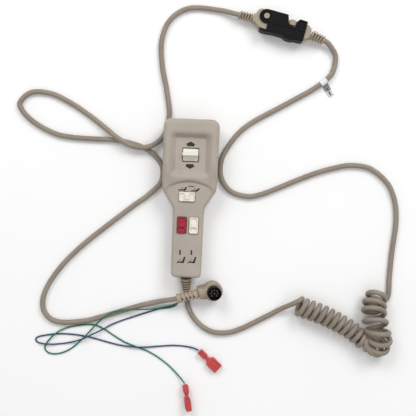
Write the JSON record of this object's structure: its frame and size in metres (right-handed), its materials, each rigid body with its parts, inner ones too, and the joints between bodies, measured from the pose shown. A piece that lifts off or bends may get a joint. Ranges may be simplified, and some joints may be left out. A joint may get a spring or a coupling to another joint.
{
  "type": "pendant control station",
  "caption": "Hand control with a recessed paddle rocker and three small rockers, a curly cord, an inline connector with a lock clip, and a lead with a round plug and push-on terminals.",
  "frame": {"origin": "under the middle of the hand control's box, on the surface it lies on", "axes": "+Y along the hand control towards its head, +Z out of its front face, +X to the right of the head seen from the front"},
  "size_m": [0.3866, 0.4088, 0.0281],
  "materials": {
    "shell_plastic": "fine moulded texture",
    "beige_plastic": "moulded PVC",
    "cord_jacket": "matte PVC jacket",
    "black_plastic": "satin",
    "white_plastic": "satin gloss",
    "red_plastic": "satin gloss",
    "terminal_sleeve": "slightly translucent vinyl",
    "green_pvc": "satin",
    "blue_pvc": "satin",
    "steel": "zinc plated",
    "brass": "plain",
    "board": "solder mask",
    "tag_white": "plain",
    "tag_clear": "thin film"
  },
  "bodies": {
    "case": {"front_shell": "shell_plastic", "rear_shell": "shell_plastic", "case_screw_1": "steel", "case_screw_2": "steel", "case_screw_3": "steel", "case_screw_4": "steel", "circuit_board": "board", "main_switch_base": "black_plastic", "select_switch_base": "black_plastic", "red_switch_base": "black_plastic", "white_switch_base": "black_plastic", "main_axle": "steel", "select_axle": "steel", "red_axle": "steel", "white_axle": "steel", "cable_clamp": "black_plastic", "clamp_screw_1": "steel", "clamp_screw_2": "steel", "inner_lead": "cord_jacket", "handset_boot": "shell_plastic", "handset_lead": "cord_jacket", "curly_cord": "cord_jacket", "connector_lead": "cord_jacket", "tag_band": "tag_white", "tag_flag": "tag_clear", "plug_boot": "beige_plastic", "plug_body": "beige_plastic", "socket_body": "beige_plastic", "socket_boot": "beige_plastic", "clip_pin": "beige_plastic", "chair_lead": "cord_jacket", "din_body": "beige_plastic", "din_boot": "beige_plastic", "din_shell": "black_plastic", "din_insert": "black_plastic", "din_pin_1": "brass", "din_pin_2": "brass", "din_pin_3": "brass", "din_pin_4": "brass", "din_pin_5": "brass", "din_pin_6": "brass", "din_pin_7": "brass", "din_pin_8": "brass", "green_wire": "green_pvc", "blue_wire": "blue_pvc", "green_terminal_sleeve": "terminal_sleeve", "blue_terminal_sleeve": "terminal_sleeve", "green_terminal_blade": "brass", "blue_terminal_blade": "brass"},
    "main_rocker": {"main_rocker": "white_plastic"},
    "select_rocker": {"select_rocker": "white_plastic"},
    "red_rocker": {"red_rocker": "red_plastic"},
    "white_rocker": {"white_rocker": "white_plastic"},
    "lock_clip": {"lock_clip": "black_plastic"}
  },
  "joints": [
    {"name": "main_rocker_tilt", "type": "hinge", "parent": "case", "child": "main_rocker", "pos_m": [0, 0.0426, 0.0181], "axis": [1, 0, 0], "range_deg": [-9, 9], "stiffness_Nm_per_rad": 0.1},
    {"name": "select_rocker_tilt", "type": "hinge", "parent": "case", "child": "select_rocker", "pos_m": [-0.0019, 0.0012, 0.0181], "axis": [0, 1, 0], "range_deg": [-6, 6]},
    {"name": "red_rocker_tilt", "type": "hinge", "parent": "case", "child": "red_rocker", "pos_m": [-0.0059, -0.0269, 0.0181], "axis": [1, 0, 0], "range_deg": [-6, 6]},
    {"name": "white_rocker_tilt", "type": "hinge", "parent": "case", "child": "white_rocker", "pos_m": [0.0058, -0.0269, 0.0181], "axis": [1, 0, 0], "range_deg": [-6, 6]},
    {"name": "lock_clip_swing", "type": "hinge", "parent": "case", "child": "lock_clip", "pos_m": [0.07017, 0.18427, 0.0077], "axis": [0, 0, 1], "range_deg": [-35, 0]}
  ]
}
